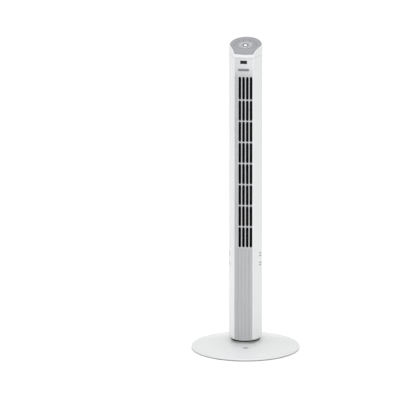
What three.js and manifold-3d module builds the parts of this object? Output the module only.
// A tower fan: a slim white column on a round domed base. The column swings from side to side on a
// geared turntable, a cross-flow impeller behind the front grille moves the air, and the keys are on
// the sloping top. Millimetres, +Z up, the front faces -Y, origin on the floor under the column's axis.
import * as THREE from "three";
import { mergeVertices } from "three/addons/utils/BufferGeometryUtils.js";
import Module from "manifold-3d";

const wasm = await Module();
wasm.setup();
const { degToRad } = THREE.MathUtils;

// ---- Driving dimensions ----
// Column
const overallHeight = 1000;
const topDrop = 35; // how far the top falls from back to front
const topSlope = degToRad(14.4); // slope of its main part
const apronDepth = 18; // its front strip, this deep from back to front, falls more steeply
const capHeight = 45; // joint of the top cap, below the highest point
const columnFoot = 41.6; // underside of the column
const bodyRadius = 52.5; // round back
const noseFront = 55; // axis to the flat front
const noseHalf = 31.3; // half the width of the flat front
const facetAngle = degToRad(67.5); // the side facets' normal, from straight ahead
const cornerRound = 3; // rounding of the front corners
const wall = 2.6;
const housingSeam = -2; // Y of the joint between the front and the rear housing
const fit = 0.3; // gap between pieces that touch

// Front insert: grille above, fluted panel below
const insertBorder = 1.9; // white edge on each side of the insert
const insertSink = 0.8; // how far its edges lie behind the housing's flat front
const insertBow = 1.8; // how much further out its middle is
const insertThick = 2.7;
const insertSplit = 337; // joint between the grille and the fluted panel
const slotColumns = 5;
const slotWidth = 8.4;
const slotHeadroom = 60; // from the cap's joint down to the slots
const slotFootroom = 4.5;
const slotRows = 8;
const ribWidth = 2.4;
const topRowExtra = 8.2; // how much taller the top row is than the others
const blindColumn = -2; // this column of slots is closed, because the air duct ends beside it
const blindDepth = 1.4;
const fluteDepth = 1.3;
const displaySize = { width: 21, height: 10, drop: 13.2 }; // drop is below the cap's joint
const plateSize = { width: 35, height: 7.4, drop: 38.2 };

// Side vents by the motor
const ventLength = 14;
const ventHeight = 2.4;
const ventOffset = 5; // how far behind the facet's middle the vents are centred
const ventDrops = [22.7, 31.1, 53.2, 61.2]; // below the joint between grille and fluted panel

// Rear intake
const intakeColumns = 9;
const intakeRows = 5;
const intakeStep = degToRad(14);
const intakeWidth = 5.4;
const intakeFootroom = 15; // above the joint between grille and fluted panel
const intakeHeadroom = 71; // below the cap's joint
const intakeRib = 6;

// Base
const baseRadius = 171;
const rimBottom = 2.2;
const rimTop = 9;
const rimFlange = 10;
const coverWall = 3;
const deckRadius = 45; // flat top of the dome, under the turntable
const deckHeight = 29;
const plateThick = 2.5;
const plateBottom = 3.3;
const footRadius = 9;
const footHeight = 3;
const footInset = 25; // edge of the base to the middle of a foot
const footCount = 6;
const baseScrewInset = 35;
const baseScrewCount = 3;
const ballast = { inner: 48, inset: 45, bottom: 6.2, top: 13 };
const badge = { width: 16, depth: 12, thick: 0.7, inset: 78, turn: degToRad(7) };

// Swivel
const neckRadius = 46;
const neckGap = 1.2; // open joint between the turning neck and the dome
const spindleRadius = 9;
const spindleBore = 6.5;
const spindleTop = 66;
const gearModule = 1.6;
const gearTeeth = 26;
const pinionTeeth = 10;
const gearBacklash = 0.45;
const gearThick = 5.6;
const bearing = { width: 4.1, height: 3.6 };
const swingMotorRadius = 14;
const swingMotorHeight = 19;

// Blower
const impellerY = 6;
const impellerRadius = 31;
const bladeCount = 14;
const bladeLength = 9;
const bladeThick = 1.3;
const ringCount = 2;
const ductGap = 4;
const ductSpread = 7; // how much the scroll opens out along its spiral
const ductWall = 1.8;
const cutoffGap = 8.3; // from the housing's side to the cut-off wall's end
const chassisThick = 3;
const motorPlateDrop = 6; // below the joint between grille and fluted panel
const bearingPlateDrop = 64; // below the cap's joint
const shaftRadius = 4;
const motorRadius = 33;
const motorHeight = 56;

// Keys on the sloping top
const dialY = -5.7; // middle of the ring of keys
const keyCount = 6;
const keyInner = 10.2;
const keyOuter = 22.6;
const keyMargin = degToRad(3.2);
const keyProud = 0.8;
const powerRadius = 6;
const powerProud = 1.1;
const bezelWidth = 1.8;
const bezelProud = 0.7;
const inlayInset = 2.8;
const inlayThick = 1.9;
const keyTravel = 1;

// Cord gland
const glandRadius = 6;
const glandHeight = 76;
const glandBore = 3.6;

// ---- Values that follow ----
const frontHeight = overallHeight - topDrop;
const capSeam = overallHeight - capHeight;
const topHeight = (y) => overallHeight - (bodyRadius - y) * Math.tan(topSlope);
const apronY = apronDepth - noseFront;
const apronSlope = Math.atan2(topHeight(apronY) - frontHeight, apronDepth);
const facetDistance = noseFront * Math.cos(facetAngle) + noseHalf * Math.sin(facetAngle);
const insertHalf = noseHalf - insertBorder;
const insertEdge = noseFront - insertSink;
const insertBack = insertEdge - insertThick;
const slotPitch = (2 * insertHalf) / slotColumns;
const slotTop = capSeam - slotHeadroom;
const slotBottom = insertSplit + slotFootroom;
const ribPitch = (slotTop - topRowExtra - slotBottom + ribWidth) / slotRows;
const ribMiddle = (row) => slotBottom + row * ribPitch - ribWidth / 2; // the rib under a row
const intakeBottom = insertSplit + intakeFootroom;
const intakeTop = capSeam - intakeHeadroom;
const domeRadius = baseRadius - rimFlange;
const domeRise = (deckHeight - rimTop) / (1 - (deckRadius / domeRadius) ** 2);
const domeHeight = (r) => rimTop + domeRise * (1 - (r / domeRadius) ** 2);
const plateTop = plateBottom + plateThick;
const footCircle = baseRadius - footInset;
const baseScrewCircle = baseRadius - baseScrewInset;
const baseScrewTop = domeHeight(baseScrewCircle) - coverWall - 1.5;
const gearRadius = (gearModule * gearTeeth) / 2;
const pinionRadius = (gearModule * pinionTeeth) / 2;
const gearDistance = gearRadius + pinionRadius + 0.15;
const gearBottom = deckHeight + fit;
const bearingOuter = neckRadius - 3.4;
const bearingInner = bearingOuter - bearing.width;
const bearingTop = deckHeight + fit + bearing.height;
const motorPlateBottom = insertSplit - motorPlateDrop;
const bearingPlateBottom = capSeam - bearingPlateDrop;
const impellerBottom = motorPlateBottom + chassisThick + 9;
const impellerTop = bearingPlateBottom - 7;
const motorTop = motorPlateBottom - 9;
const motorBottom = motorTop - motorHeight;
const allHeight = overallHeight + 20; // taller than every piece, for cutters

// ---- Materials ----
const paint = (color, roughness = 0.4, metalness = 0) =>
  new THREE.MeshStandardMaterial({ color, roughness, metalness });
const whiteAbs = paint(0xe9eaeb, 0.3);
const silverPaint = paint(0xb9babc, 0.35, 0.3);
const greyPanel = paint(0xa3a4a6, 0.4, 0.2);
const keyGrey = paint(0xc4c5c7, 0.35);
const glossBlack = paint(0x0a0a0b, 0.08);
const blackPlastic = paint(0x151516, 0.6);
const rubber = paint(0x1c1c1c, 0.85);
const steel = paint(0xa9abad, 0.35, 1);
const castMetal = paint(0x8f9194, 0.55, 0.9);
const acetal = paint(0xf1efe6, 0.45);
const boardGreen = paint(0x1f5a35, 0.55);
const bronze = paint(0xa8793c, 0.45, 1);

// ---- Making and placing solids ----
const fan = new THREE.Group();

// A closed three.js geometry as a solid that can be joined and cut.
function solid(geometry) {
  const bare = geometry.clone();
  bare.deleteAttribute("normal");
  bare.deleteAttribute("uv");
  const merged = mergeVertices(bare, 1e-4);
  const index = merged.index.array;
  const corners = [];
  for (let i = 0; i < index.length; i += 3) {
    const [a, b, c] = [index[i], index[i + 1], index[i + 2]];
    if (a !== b && b !== c && c !== a) corners.push(a, b, c);
  }
  const mesh = new wasm.Mesh({
    numProp: 3,
    vertProperties: merged.attributes.position.array,
    triVerts: new Uint32Array(corners),
  });
  return new wasm.Manifold(mesh);
}

// Adds a solid to the fan as a named piece.
function piece(name, shape, material) {
  const made = shape.getMesh();
  const geometry = new THREE.BufferGeometry();
  geometry.setAttribute("position", new THREE.BufferAttribute(made.vertProperties, 3));
  geometry.setIndex(new THREE.BufferAttribute(made.triVerts, 1));
  const mesh = new THREE.Mesh(geometry, material);
  mesh.name = name;
  fan.add(mesh);
}

// A flat outline raised from z0 to z1.
function prism(outline, z0, z1, curveSegments = 6) {
  const geometry = new THREE.ExtrudeGeometry(outline, {
    depth: z1 - z0,
    bevelEnabled: false,
    curveSegments,
  });
  return geometry.translate(0, 0, z0);
}

// A profile of [radius, height] points, counter-clockwise, turned about the Z axis.
function turned(profile, segments = 24) {
  const points = profile.map(([r, z]) => new THREE.Vector2(r, z));
  return new THREE.LatheGeometry(points, segments).rotateX(Math.PI / 2);
}

function ring(inner, outer, z0, z1, segments = 32) {
  const profile = [[inner, z0], [outer, z0], [outer, z1], [inner, z1], [inner, z0]];
  return turned(profile, segments);
}

function rod(radius, z0, z1, segments = 24) {
  const geometry = new THREE.CylinderGeometry(radius, radius, z1 - z0, segments);
  return geometry.rotateX(Math.PI / 2).translate(0, 0, (z0 + z1) / 2);
}

function block(x0, x1, y0, y1, z0, z1) {
  const geometry = new THREE.BoxGeometry(x1 - x0, y1 - y0, z1 - z0);
  return geometry.translate((x0 + x1) / 2, (y0 + y1) / 2, (z0 + z1) / 2);
}

// Copies of a geometry turned about the Z axis, joined into one cutter.
function around(geometry, count, start = 0) {
  let all = null;
  for (let i = 0; i < count; i++) {
    const copy = solid(geometry.clone().rotateZ(start + (i * 2 * Math.PI) / count));
    all = all ? all.add(copy) : copy;
  }
  return all;
}

// From a Z-up geometry at the origin to one standing on the sloping top, in the middle of the keys.
const slopeMatrix = new THREE.Matrix4()
  .makeRotationX(topSlope)
  .setPosition(0, dialY, topHeight(dialY));
const apronMatrix = new THREE.Matrix4()
  .makeRotationX(apronSlope)
  .setPosition(0, apronY, topHeight(apronY));
const onSlope = (geometry) => geometry.applyMatrix4(slopeMatrix);

// The slab between two heights over the main part of the top.
const slab = (low, high) => block(-allHeight, allHeight, -allHeight, allHeight, low, high);
const slopeSlab = (low, high) => solid(onSlope(slab(low, high)));

// All that lies over the whole top, lowered by a depth.
const overTop = (depth) =>
  slopeSlab(-depth, allHeight).add(solid(slab(-depth, allHeight).applyMatrix4(apronMatrix)));

// ---- Column ----
// The column's outline, moved in by inset: a flat or bowed front, two facets and a round back.
function columnOutline(inset = 0, bow = 0) {
  const front = noseFront - inset;
  const side = facetDistance - inset;
  const back = bodyRadius - inset;
  const cornerX = (side - front * Math.cos(facetAngle)) / Math.sin(facetAngle);
  const join = facetAngle + Math.acos(side / back) - Math.PI / 2;
  const along = [Math.cos(facetAngle), Math.sin(facetAngle)];
  const facetX = cornerX + cornerRound * along[0];
  const facetY = -front + cornerRound * along[1];
  const outline = new THREE.Shape();
  outline.moveTo(-cornerX + cornerRound, -front);
  outline.quadraticCurveTo(0, -front - 2 * bow, cornerX - cornerRound, -front);
  outline.quadraticCurveTo(cornerX, -front, facetX, facetY);
  outline.absarc(0, 0, back, join, Math.PI - join, false);
  outline.lineTo(-facetX, facetY);
  outline.quadraticCurveTo(-cornerX, -front, -cornerX + cornerRound, -front);
  return outline;
}

const columnBlock = (inset, z0, z1, bow = 0) => solid(prism(columnOutline(inset, bow), z0, z1, 8));
const shell = columnBlock(0, columnFoot, capSeam).subtract(
  columnBlock(wall, columnFoot - 1, capSeam + 1),
);

// Screw posts join the two housings, in pairs at these heights.
const postX = 24;
const postHeights = [118, capSeam - 30];
const postSplit = 19;
const screwHeadY = 30;
const screwLength = 28;
const post = (radius, y0, y1, x, z) =>
  solid(rod(radius, -y1, -y0, 10).rotateX(Math.PI / 2).translate(x, 0, z));
const postPlaces = postHeights.flatMap((z) => [-postX, postX].map((x) => [x, z]));

function frontHousing() {
  const keep = solid(block(-allHeight, allHeight, -allHeight, housingSeam - fit / 2, 0, allHeight));
  const opening = block(-insertHalf - fit, insertHalf + fit, -allHeight, 5 - insertBack, 0, allHeight);
  let made = shell.intersect(keep).subtract(solid(opening));
  const ties = [columnFoot + 4, ...postHeights, insertSplit, ribMiddle(2), ribMiddle(5), capSeam - 4];
  for (const z of ties) {
    const y = -insertBack + fit;
    const tie = block(-bodyRadius, bodyRadius, y, y + 3, z - ribWidth / 2, z + ribWidth / 2);
    made = made.add(solid(tie).intersect(columnBlock(wall / 2, 0, allHeight)));
  }
  for (const [x, z] of postPlaces) {
    made = made.add(post(4.6, -insertBack + 1, postSplit - fit, x, z));
    made = made.subtract(post(1.9, postSplit - screwLength, postSplit + 1, x, z));
  }
  return made.subtract(ventCutter(1)).subtract(ventCutter(-1));
}

// The four vent slits through the right (side 1) or left (side -1) facet.
function ventCutter(side) {
  const ventY = -facetDistance * Math.cos(facetAngle) + ventOffset * Math.sin(facetAngle);
  const x = (facetDistance + Math.cos(facetAngle) * ventY) / Math.sin(facetAngle);
  let all = null;
  for (const drop of ventDrops) {
    const slit = new THREE.BoxGeometry(12, ventLength, ventHeight);
    slit.rotateZ(side * (facetAngle - Math.PI / 2)).translate(side * x, ventY, insertSplit - drop);
    all = all ? all.add(solid(slit)) : solid(slit);
  }
  return all;
}

function rearHousing() {
  const keep = solid(block(-allHeight, allHeight, housingSeam + fit / 2, allHeight, 0, allHeight));
  let made = shell.intersect(keep);
  for (const [x, z] of postPlaces) {
    const boss = post(5.4, postSplit, bodyRadius, x, z).intersect(columnBlock(wall / 2, 0, allHeight));
    made = made.add(boss);
    made = made.subtract(post(2, 0, bodyRadius, x, z)).subtract(post(4, screwHeadY, bodyRadius, x, z));
  }
  const rowHeight = (intakeTop - intakeBottom + intakeRib) / intakeRows;
  for (let row = 0; row < intakeRows; row++) {
    const z = intakeBottom + row * rowHeight;
    for (let column = 0; column < intakeColumns; column++) {
      const turn = (column - (intakeColumns - 1) / 2) * intakeStep;
      const half = intakeWidth / 2;
      const slot = block(-half, half, bodyRadius - 10, bodyRadius + 5, z, z + rowHeight - intakeRib);
      made = made.subtract(solid(slot.rotateZ(turn)));
    }
  }
  return made.subtract(post(glandRadius + fit, bodyRadius - 15, bodyRadius + 5, 0, glandHeight));
}

// ---- Front insert ----
function insertOutline(flutes) {
  const outline = new THREE.Shape();
  const face = (x) => -insertEdge - insertBow * (1 - (x / insertHalf) ** 2);
  const steps = flutes ? 40 : 10;
  outline.moveTo(-insertHalf, -insertBack);
  for (let i = 0; i <= steps; i++) {
    const x = -insertHalf + (2 * insertHalf * i) / steps;
    const wave = flutes ? (fluteDepth / 2) * (1 + Math.cos((2 * Math.PI * x) / slotPitch)) : 0;
    outline.lineTo(x, face(x) + wave);
  }
  outline.lineTo(insertHalf, -insertBack);
  outline.closePath();
  return outline;
}

// A slot with round ends, cut along Y between two depths.
function slotCutter(x, z0, z1, y0, y1) {
  const half = slotWidth / 2;
  const outline = new THREE.Shape();
  outline.absarc(0, z0 + half, half, Math.PI, 2 * Math.PI, false);
  outline.absarc(0, z1 - half, half, 0, Math.PI, false);
  outline.closePath();
  return solid(prism(outline, -y1, -y0, 2).rotateX(Math.PI / 2).translate(x, 0, 0));
}

function frontGrille() {
  let made = solid(prism(insertOutline(false), insertSplit + fit / 2, capSeam - fit));
  for (let row = 0; row < slotRows; row++) {
    const z0 = slotBottom + row * ribPitch;
    const z1 = row === slotRows - 1 ? slotTop : z0 + ribPitch - ribWidth;
    for (let column = (1 - slotColumns) / 2; column <= (slotColumns - 1) / 2; column++) {
      const x = column * slotPitch;
      const face = insertEdge + insertBow * (1 - (x / insertHalf) ** 2);
      const deep = column === blindColumn ? -face + blindDepth : 5 - insertBack;
      made = made.subtract(slotCutter(x, z0, z1, -face - 5, deep));
    }
  }
  return made.subtract(plugPocket(displaySize, 0)).subtract(plugPocket(plateSize, plateBack + fit));
}

// The pocket in the grille that a plug sits in, as deep as the plane Y = backY.
function plugPocket({ width, height, drop }, backY) {
  const half = width / 2 + fit;
  const low = capSeam - drop - height / 2 - fit;
  return solid(block(-half, half, -allHeight, backY, low, low + height + 2 * fit));
}

const plateBack = 0.1 - insertEdge - insertBow / 2;

// A block set in the insert, whose front follows the insert's bow and stands a little proud of it.
function insertPlug({ width, height, drop }, backY, proud) {
  const z = capSeam - drop;
  const outline = new THREE.Shape();
  outline.moveTo(-width / 2, backY);
  for (let i = 0; i <= 4; i++) {
    const x = width * (i / 4 - 0.5);
    outline.lineTo(x, -insertEdge - insertBow * (1 - (x / insertHalf) ** 2) - proud);
  }
  outline.lineTo(width / 2, backY);
  outline.closePath();
  return solid(prism(outline, z - height / 2, z + height / 2));
}

// ---- Top cap, inlay and keys ----
const deckDepth = inlayThick + fit + wall; // from the top down to the underside of the cap's deck
const keyHalf = Math.PI / keyCount - keyMargin;
const flangeTop = -inlayThick - 1.2;
const flangeBottom = flangeTop - 1;
const keyMiddle = (i) => Math.PI / 2 + (i * 2 * Math.PI) / keyCount;

function sector(inner, outer, middle, half) {
  const outline = new THREE.Shape();
  outline.absarc(0, 0, outer, middle - half, middle + half, false);
  outline.absarc(0, 0, inner, middle + half, middle - half, true);
  outline.closePath();
  return outline;
}

function topCap() {
  const outside = columnBlock(0, capSeam + fit, allHeight, insertBow / 2);
  const room = columnBlock(wall, 0, allHeight).subtract(overTop(deckDepth));
  const pocket = columnBlock(inlayInset, 0, allHeight).intersect(overTop(inlayThick + fit));
  return outside
    .subtract(overTop(0))
    .subtract(room)
    .subtract(pocket)
    .subtract(solid(onSlope(rod(keyOuter + 2.2, -20, 5, 24))));
}

function controlPanel() {
  let made = columnBlock(inlayInset + fit, 0, allHeight)
    .intersect(overTop(inlayThick))
    .subtract(overTop(0))
    .add(solid(onSlope(ring(powerRadius + 0.6, powerRadius + 0.6 + bezelWidth, -1, bezelProud, 24))))
    .subtract(solid(onSlope(rod(powerRadius + fit, -20, 5, 24))));
  for (let i = 0; i < keyCount; i++) {
    const hole = sector(keyInner - fit, keyOuter + fit, keyMiddle(i), keyHalf + degToRad(1.2));
    made = made.subtract(solid(onSlope(prism(hole, -20, 5, 2))));
  }
  return made;
}

function key(i) {
  const cap = solid(onSlope(prism(sector(keyInner, keyOuter, keyMiddle(i), keyHalf),
    flangeBottom, keyProud, 1)));
  const flange = solid(onSlope(prism(sector(keyInner - 0.8, keyOuter + 0.9, keyMiddle(i), keyHalf),
    flangeBottom, flangeTop, 1)));
  return cap.add(flange);
}

function powerButton() {
  const crown = powerProud - 0.5;
  const profile = [
    [0, flangeBottom], [powerRadius + 1.2, flangeBottom], [powerRadius + 1.2, flangeTop],
    [powerRadius, flangeTop], [powerRadius, crown], [powerRadius * 0.8, powerProud - 0.15],
    [0, powerProud],
  ];
  return solid(onSlope(turned(profile, 20)));
}

function controlBoard() {
  const thick = 1.6;
  const top = flangeBottom - keyTravel - 3;
  const behindApron = solid(block(-allHeight, allHeight, apronY, allHeight, 0, allHeight));
  let made = columnBlock(wall + 4, 0, allHeight)
    .intersect(slopeSlab(top - thick, top))
    .intersect(behindApron);
  const reach = flangeBottom - keyTravel - fit;
  const middle = (keyInner + keyOuter) / 2;
  made = made.add(solid(onSlope(rod(2.6, top - 1, reach, 8))));
  for (let i = 0; i < keyCount; i++) {
    const a = keyMiddle(i);
    const stem = rod(2.6, top - 1, reach, 8).translate(middle * Math.cos(a), middle * Math.sin(a), 0);
    made = made.add(solid(onSlope(stem)));
  }
  return made;
}

// ---- Blower ----
const hubProfile = [[0, 0], [impellerRadius, 0], [impellerRadius, 3], [7, 3], [7, 12], [0, 12]];

function impeller() {
  let made = solid(turned(hubProfile, 24).translate(0, 0, impellerBottom));
  const height = impellerTop - impellerBottom;
  for (let i = 1; i <= ringCount; i++) {
    const z = impellerBottom + (i * (height - 3)) / ringCount;
    const inner = i === ringCount ? 0.5 : impellerRadius - bladeLength - 1;
    made = made.add(solid(ring(inner, impellerRadius, z, z + 3, 24)));
  }
  const blade = bladeOutline();
  const wheel = around(prism(blade, impellerBottom + 1, impellerTop - 1, 2), bladeCount);
  const stub = solid(rod(3, impellerTop - 2, bearingPlateBottom + chassisThick + 2, 16));
  return made
    .add(wheel)
    .add(stub)
    .subtract(solid(rod(shaftRadius + fit, impellerBottom - 1, impellerBottom + 10, 16)))
    .translate([0, impellerY, 0]);
}

// A forward-curved blade in section: the band between two arcs.
function bladeOutline() {
  const inner = impellerRadius - bladeLength;
  const outer = impellerRadius - 0.4;
  const sweep = 2.6;
  const outline = new THREE.Shape();
  outline.moveTo(inner, 0);
  outline.quadraticCurveTo((inner + outer) / 2, -sweep, outer, sweep * 0.4);
  outline.lineTo(outer, sweep * 0.4 + bladeThick);
  outline.quadraticCurveTo((inner + outer) / 2, -sweep + bladeThick, inner, bladeThick);
  outline.closePath();
  return outline;
}

// The scroll: a spiral wall round the impeller that opens into the right side of the outlet.
function scrollOutline() {
  const start = 75; // degrees from +X, where the wall comes closest to the impeller
  const turn = 105; // degrees the wall runs, towards the front
  const spiral = (degrees, extra) => {
    const r = impellerRadius + ductGap + (ductSpread * (start - degrees)) / turn + extra;
    const a = degToRad(degrees);
    return [r * Math.cos(a), impellerY + r * Math.sin(a)];
  };
  const outletX = slotPitch * 2 + slotWidth / 2 + 1;
  const outletY = -insertBack + 4;
  const angles = Array.from({ length: 13 }, (_, i) => start - (turn * i) / 12);
  const outline = new THREE.Shape();
  outline.moveTo(...spiral(start, 0));
  angles.slice(1).forEach((a) => outline.lineTo(...spiral(a, 0)));
  outline.lineTo(outletX, outletY);
  outline.lineTo(outletX + ductWall, outletY);
  angles.reverse().forEach((a) => outline.lineTo(...spiral(a, ductWall)));
  outline.closePath();
  return outline;
}

// The cut-off: a bent wall that ends close to the impeller and closes the left side of the outlet.
function cutoffOutline() {
  const a = degToRad(-130);
  const tip = impellerRadius + ductGap;
  const tipX = tip * Math.cos(a);
  const tipY = impellerY + tip * Math.sin(a);
  const outletX = -slotPitch * 1.5;
  const outletY = -insertBack + 4;
  const sideX = -(facetDistance - wall - cutoffGap); // beside the housing's left facet
  const outline = new THREE.Shape();
  outline.moveTo(outletX, outletY);
  outline.lineTo(tipX + 1, tipY);
  outline.lineTo(tipX - 1.5, tipY + 1.5);
  outline.lineTo(sideX, tipY - 1);
  outline.lineTo(sideX, tipY - 1 - ductWall);
  outline.lineTo(tipX - 1.5, tipY - ductWall);
  outline.lineTo(outletX - ductWall, outletY);
  outline.closePath();
  return outline;
}

const chassis = (z) => columnBlock(wall + fit, z, z + chassisThick).intersect(
  solid(block(-allHeight, allHeight, 3 + 2 * fit - insertBack, allHeight, 0, allHeight)));
const atImpeller = (geometry) => solid(geometry.translate(0, impellerY, 0));

// ---- Gears ----
// An involute spur gear's outline with stub teeth; a tooth points along +Y when phase is 0.
function gearOutline(teeth, bore, phase) {
  const pitch = (gearModule * teeth) / 2;
  const pressure = degToRad(20);
  const baseCircle = pitch * Math.cos(pressure);
  const tip = pitch + 0.8 * gearModule;
  const root = pitch - 1.15 * gearModule;
  const involute = (a) => Math.tan(a) - a;
  const halfAtPitch = Math.PI / (2 * teeth) - gearBacklash / 2 / pitch / 2;
  const halfAt = (r) => halfAtPitch + involute(pressure) - involute(Math.acos(Math.min(1, baseCircle / r)));
  const radii = [Math.max(root, baseCircle), pitch, tip];
  const outline = new THREE.Shape();
  const point = (r, a) => [r * Math.sin(a), r * Math.cos(a)];
  for (let i = 0; i < teeth; i++) {
    const middle = phase - (i * 2 * Math.PI) / teeth;
    const flank = radii.map((r, j) => [j ? r : root, halfAt(r)]);
    const corners = [...flank.map(([r, h]) => point(r, middle + h)),
      ...flank.reverse().map(([r, h]) => point(r, middle - h))];
    corners.forEach((p, j) => (i || j ? outline.lineTo(...p) : outline.moveTo(...p)));
  }
  outline.closePath();
  if (bore) outline.holes.push(new THREE.Path().absarc(0, 0, bore, 0, 2 * Math.PI, true));
  return outline;
}

// ---- Assemble the base ----
function baseCover() {
  const domed = (offset, steps) => Array.from({ length: steps + 1 }, (_, i) => {
    const r = domeRadius - ((domeRadius - deckRadius) * i) / steps;
    return [r, domeHeight(r) - offset];
  });
  const outer = [
    [baseRadius - 1.5, rimBottom], [baseRadius, rimBottom + 1.2], [baseRadius, rimTop - 2.4],
    [baseRadius - 2.4, rimTop], ...domed(0, 7), [spindleRadius + fit, deckHeight],
  ];
  const inner = [
    [spindleRadius + fit, deckHeight - coverWall], ...domed(coverWall, 3).reverse(),
    [baseRadius - coverWall, plateTop + fit], [baseRadius - coverWall, rimBottom],
  ];
  let made = solid(turned([...outer, ...inner, outer[0]], 48));
  const bossTop = domeHeight(baseScrewCircle) - coverWall / 2;
  made = made.add(around(rod(4.5, plateTop + fit, bossTop, 8).translate(0, baseScrewCircle, 0),
    baseScrewCount));
  return made.subtract(around(rod(2, 0, baseScrewTop + 0.5, 8).translate(0, baseScrewCircle, 0),
    baseScrewCount));
}

function basePlate() {
  const radius = baseRadius - coverWall - fit;
  const stemHoles = around(rod(3.3, 0, 20, 8).translate(footCircle, 0, 0), footCount);
  const screwHoles = around(rod(2, 0, 20, 8).translate(0, baseScrewCircle, 0), baseScrewCount);
  return solid(ring(22, radius, plateBottom, plateTop, 48))
    .subtract(stemHoles)
    .subtract(screwHoles);
}

piece("base_cover", baseCover(), whiteAbs);
piece("base_plate", basePlate(), blackPlastic);
const ballastOuter = baseRadius - ballast.inset;
const ballastRing = ring(ballast.inner, ballastOuter, ballast.bottom, ballast.top, 36);
piece("ballast_ring", solid(ballastRing), steel);

for (let i = 0; i < footCount; i++) {
  const profile = [
    [0, 0], [footRadius - 0.8, 0], [footRadius, 0.8], [footRadius, footHeight], [3, footHeight],
    [3, plateTop + 2], [0, plateTop + 2],
  ];
  const a = (i * 2 * Math.PI) / footCount;
  const foot = turned(profile, 12).translate(footCircle * Math.cos(a), footCircle * Math.sin(a), 0);
  piece(`rubber_foot_${i + 1}`, solid(foot), rubber);
}

for (let i = 0; i < baseScrewCount; i++) {
  const screw = solid(rod(3.6, 1.2, plateBottom - fit, 12)).add(solid(rod(1.6, 2, baseScrewTop, 8)));
  const a = Math.PI / 2 + (i * 2 * Math.PI) / baseScrewCount;
  const at = [baseScrewCircle * Math.cos(a), baseScrewCircle * Math.sin(a), 0];
  piece(`base_screw_${i + 1}`, screw.translate(at), steel);
}

const badgeOutline = new THREE.Shape().absellipse(0, 0, badge.width / 2, badge.depth / 2, 0, 2 * Math.PI);
const badgeY = badge.inset - baseRadius;
const badgeSlope = Math.atan((2 * domeRise * -badgeY) / domeRadius ** 2);
const badgeSolid = prism(badgeOutline, 0, badge.thick, 8)
  .rotateX(badgeSlope)
  .translate(0, badgeY, domeHeight(badgeY) + fit)
  .rotateZ(badge.turn);
piece("base_badge", solid(badgeSolid), greyPanel);

// ---- Assemble the swivel ----
const spindleFlange = deckHeight - coverWall - fit;
const spindleProfile = [
  [spindleBore, spindleFlange - 3], [17, spindleFlange - 3], [17, spindleFlange],
  [spindleRadius, spindleFlange], [spindleRadius, spindleTop], [spindleBore, spindleTop],
  [spindleBore, spindleFlange - 3],
];
piece("pivot_spindle", solid(turned(spindleProfile, 24)), steel);

const gearBlank = prism(gearOutline(gearTeeth, spindleRadius + 2 * fit, 0), gearBottom,
  gearBottom + gearThick, 6);
piece("swivel_gear", solid(gearBlank), acetal);
piece("bearing_ring", solid(ring(bearingInner, bearingOuter, deckHeight + fit, bearingTop, 36)), acetal);

const turntableTop = columnFoot - fit;
const turntableFloor = turntableTop - 3.4;
const neckBottom = deckHeight + neckGap;
const turntableProfile = [
  [spindleRadius + 0.5, turntableFloor], [bearingInner + 0.6, turntableFloor],
  [bearingInner + 0.6, bearingTop + fit], [bearingOuter - 0.6, bearingTop + fit],
  [bearingOuter + 0.8, turntableFloor], [neckRadius - 2.2, neckBottom], [neckRadius, neckBottom],
  [neckRadius, turntableTop], [spindleRadius + 0.5, turntableTop],
  [spindleRadius + 0.5, turntableFloor],
];
const pinionHole = rod(4.5, 0, 100, 16).translate(0, gearDistance, 0);
piece("turntable", solid(turned(turntableProfile, 36)).subtract(solid(pinionHole)), blackPlastic);

const footPlateTop = columnFoot + 3;
const footPlate = columnBlock(wall + fit, columnFoot, footPlateTop)
  .subtract(solid(rod(16, 0, 100, 32)))
  .subtract(solid(pinionHole))
  .subtract(solid(block(-allHeight, allHeight, -allHeight, 3 + 2 * fit - insertBack, 0, 100)));
piece("foot_plate", footPlate, blackPlastic);

const nutTop = turntableTop + fit + 8;
const nut = solid(rod(14, turntableTop + fit, nutTop, 6)).subtract(
  solid(rod(spindleRadius + fit, 0, 100, 32)));
piece("retaining_nut", nut, steel);

// The swing motor stands on the foot plate, with its shaft through to the pinion.
const swingMotorY = gearDistance + 5;
const swingMotorTop = footPlateTop + fit + swingMotorHeight;
const swingMotorCase = rod(swingMotorRadius, footPlateTop + fit, swingMotorTop, 24);
const swingMotor = solid(swingMotorCase.translate(0, swingMotorY, 0))
  .add(solid(block(-20.5, 20.5, swingMotorY - 3.5, swingMotorY + 3.5, footPlateTop + fit,
    footPlateTop + fit + 1.2)))
  .subtract(solid(rod(3.2, 0, footPlateTop + 8, 16).translate(0, gearDistance, 0)));
piece("swing_motor", swingMotor, castMetal);

const pinionTop = gearBottom + gearThick - 0.4;
const pinionPhase = Math.PI + Math.PI / pinionTeeth;
const pinion = solid(prism(gearOutline(pinionTeeth, 0, pinionPhase), gearBottom + 0.4, pinionTop, 4))
  .add(solid(rod(2.5, pinionTop - 1, footPlateTop + 7, 16)))
  .translate([0, gearDistance, 0]);
piece("swing_pinion", pinion, acetal);

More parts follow.
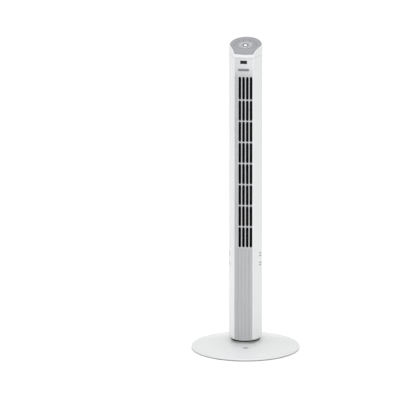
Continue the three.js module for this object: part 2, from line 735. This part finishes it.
// ---- Assemble the column ----
piece("front_housing", frontHousing(), whiteAbs);
piece("rear_housing", rearHousing(), whiteAbs);
postPlaces.forEach(([x, z], i) => {
  const screw = post(3.6, screwHeadY + fit, screwHeadY + fit + 2.4, x, z).add(
    post(1.6, screwHeadY + fit - screwLength, screwHeadY + fit + 1, x, z));
  piece(`housing_screw_${i + 1}`, screw, steel);
});
piece("front_grille", frontGrille(), silverPaint);
const lowerPanel = prism(insertOutline(true), columnFoot, insertSplit - fit / 2);
piece("lower_panel", solid(lowerPanel), silverPaint);
piece("display_window", insertPlug(displaySize, 2 - insertBack, 0.15), glossBlack);
piece("name_plate", insertPlug(plateSize, plateBack, 0.2), greyPanel);
piece("top_cap", topCap(), whiteAbs);
piece("control_panel", controlPanel(), greyPanel);
piece("power_button", powerButton(), whiteAbs);
for (let i = 0; i < keyCount; i++) piece(`key_${i + 1}`, key(i), keyGrey);
piece("control_board", controlBoard(), boardGreen);

// ---- Assemble the blower ----
const ductBottom = motorPlateBottom + chassisThick + fit;
const ductTop = bearingPlateBottom - fit;
piece("impeller", impeller(), blackPlastic);
piece("scroll_wall", solid(prism(scrollOutline(), ductBottom, ductTop)), blackPlastic);
piece("cutoff_wall", solid(prism(cutoffOutline(), ductBottom, ductTop)), blackPlastic);
piece("motor_plate", chassis(motorPlateBottom).subtract(atImpeller(rod(9, 0, allHeight, 24))), blackPlastic);
piece("bearing_plate", chassis(bearingPlateBottom).subtract(atImpeller(rod(7 + fit, 0, allHeight, 24))),
  blackPlastic);
const bushProfile = [
  [3.3, bearingPlateBottom], [7, bearingPlateBottom], [7, bearingPlateBottom + 6],
  [3.3, bearingPlateBottom + 6], [3.3, bearingPlateBottom],
];
piece("bearing_bush", atImpeller(turned(bushProfile, 24)), bronze);

// Motor: a stator between two end bells, hung under the motor plate on three rubber mounts.
const statorBottom = motorBottom + 14;
const statorTop = motorTop - 14;
const bell = (z, up) => turned(
  [[shaftRadius + 0.6, 0], [motorRadius - 6, 0], [motorRadius, 6], [motorRadius, 14 - fit],
    [motorRadius - 3, 14 - fit], [motorRadius - 3, 3], [shaftRadius + 0.6, 3],
    [shaftRadius + 0.6, 0]], 20)
  .rotateX(up ? 0 : Math.PI)
  .translate(0, 0, z);
piece("motor_bell_lower", atImpeller(bell(motorBottom, true)), castMetal);
piece("motor_bell_upper", atImpeller(bell(motorTop, false)), castMetal);
piece("motor_stator", atImpeller(ring(17, motorRadius, statorBottom, statorTop, 24)), steel);
const rotor = solid(rod(16.4, statorBottom - 4, statorTop + 4, 20)).add(
  solid(rod(shaftRadius, motorBottom - 3, impellerBottom + 8, 16)));
piece("motor_rotor", rotor.translate([0, impellerY, 0]), steel);
for (let i = 0; i < 3; i++) {
  const a = Math.PI / 2 + (i * 2 * Math.PI) / 3;
  const mount = ring(2, 6, motorTop + fit, motorPlateBottom - fit, 12);
  mount.translate(18 * Math.cos(a), 18 * Math.sin(a) + impellerY, 0);
  piece(`rubber_mount_${i + 1}`, solid(mount), rubber);
}

// ---- Electrics in the foot of the column ----
const boardBottom = 150;
const powerBoard = solid(block(-30, 30, 20, 21.6, boardBottom, boardBottom + 80))
  .add(solid(block(-24, 2, 2, 20.5, boardBottom + 8, boardBottom + 34)))
  .add(solid(block(6, 24, 8, 20.5, boardBottom + 10, boardBottom + 28)))
  .add(solid(block(-22, -4, 10, 20.5, boardBottom + 48, boardBottom + 64)))
  .add(solid(rod(6, boardBottom + 40, boardBottom + 62, 16).translate(12, 14.5, 0)));
piece("power_board", powerBoard, boardGreen);
const glandProfile = [
  [glandBore, -8], [glandRadius, -8], [glandRadius, fit], [glandRadius + 2.6, fit],
  [glandRadius + 2.6, 2.2], [glandRadius + 1.2, 3.6], [glandBore, 3.6], [glandBore, -8],
];
piece("cord_gland", solid(turned(glandProfile, 16).rotateX(-Math.PI / 2)
  .translate(0, bodyRadius, glandHeight)), rubber);

export default fan;
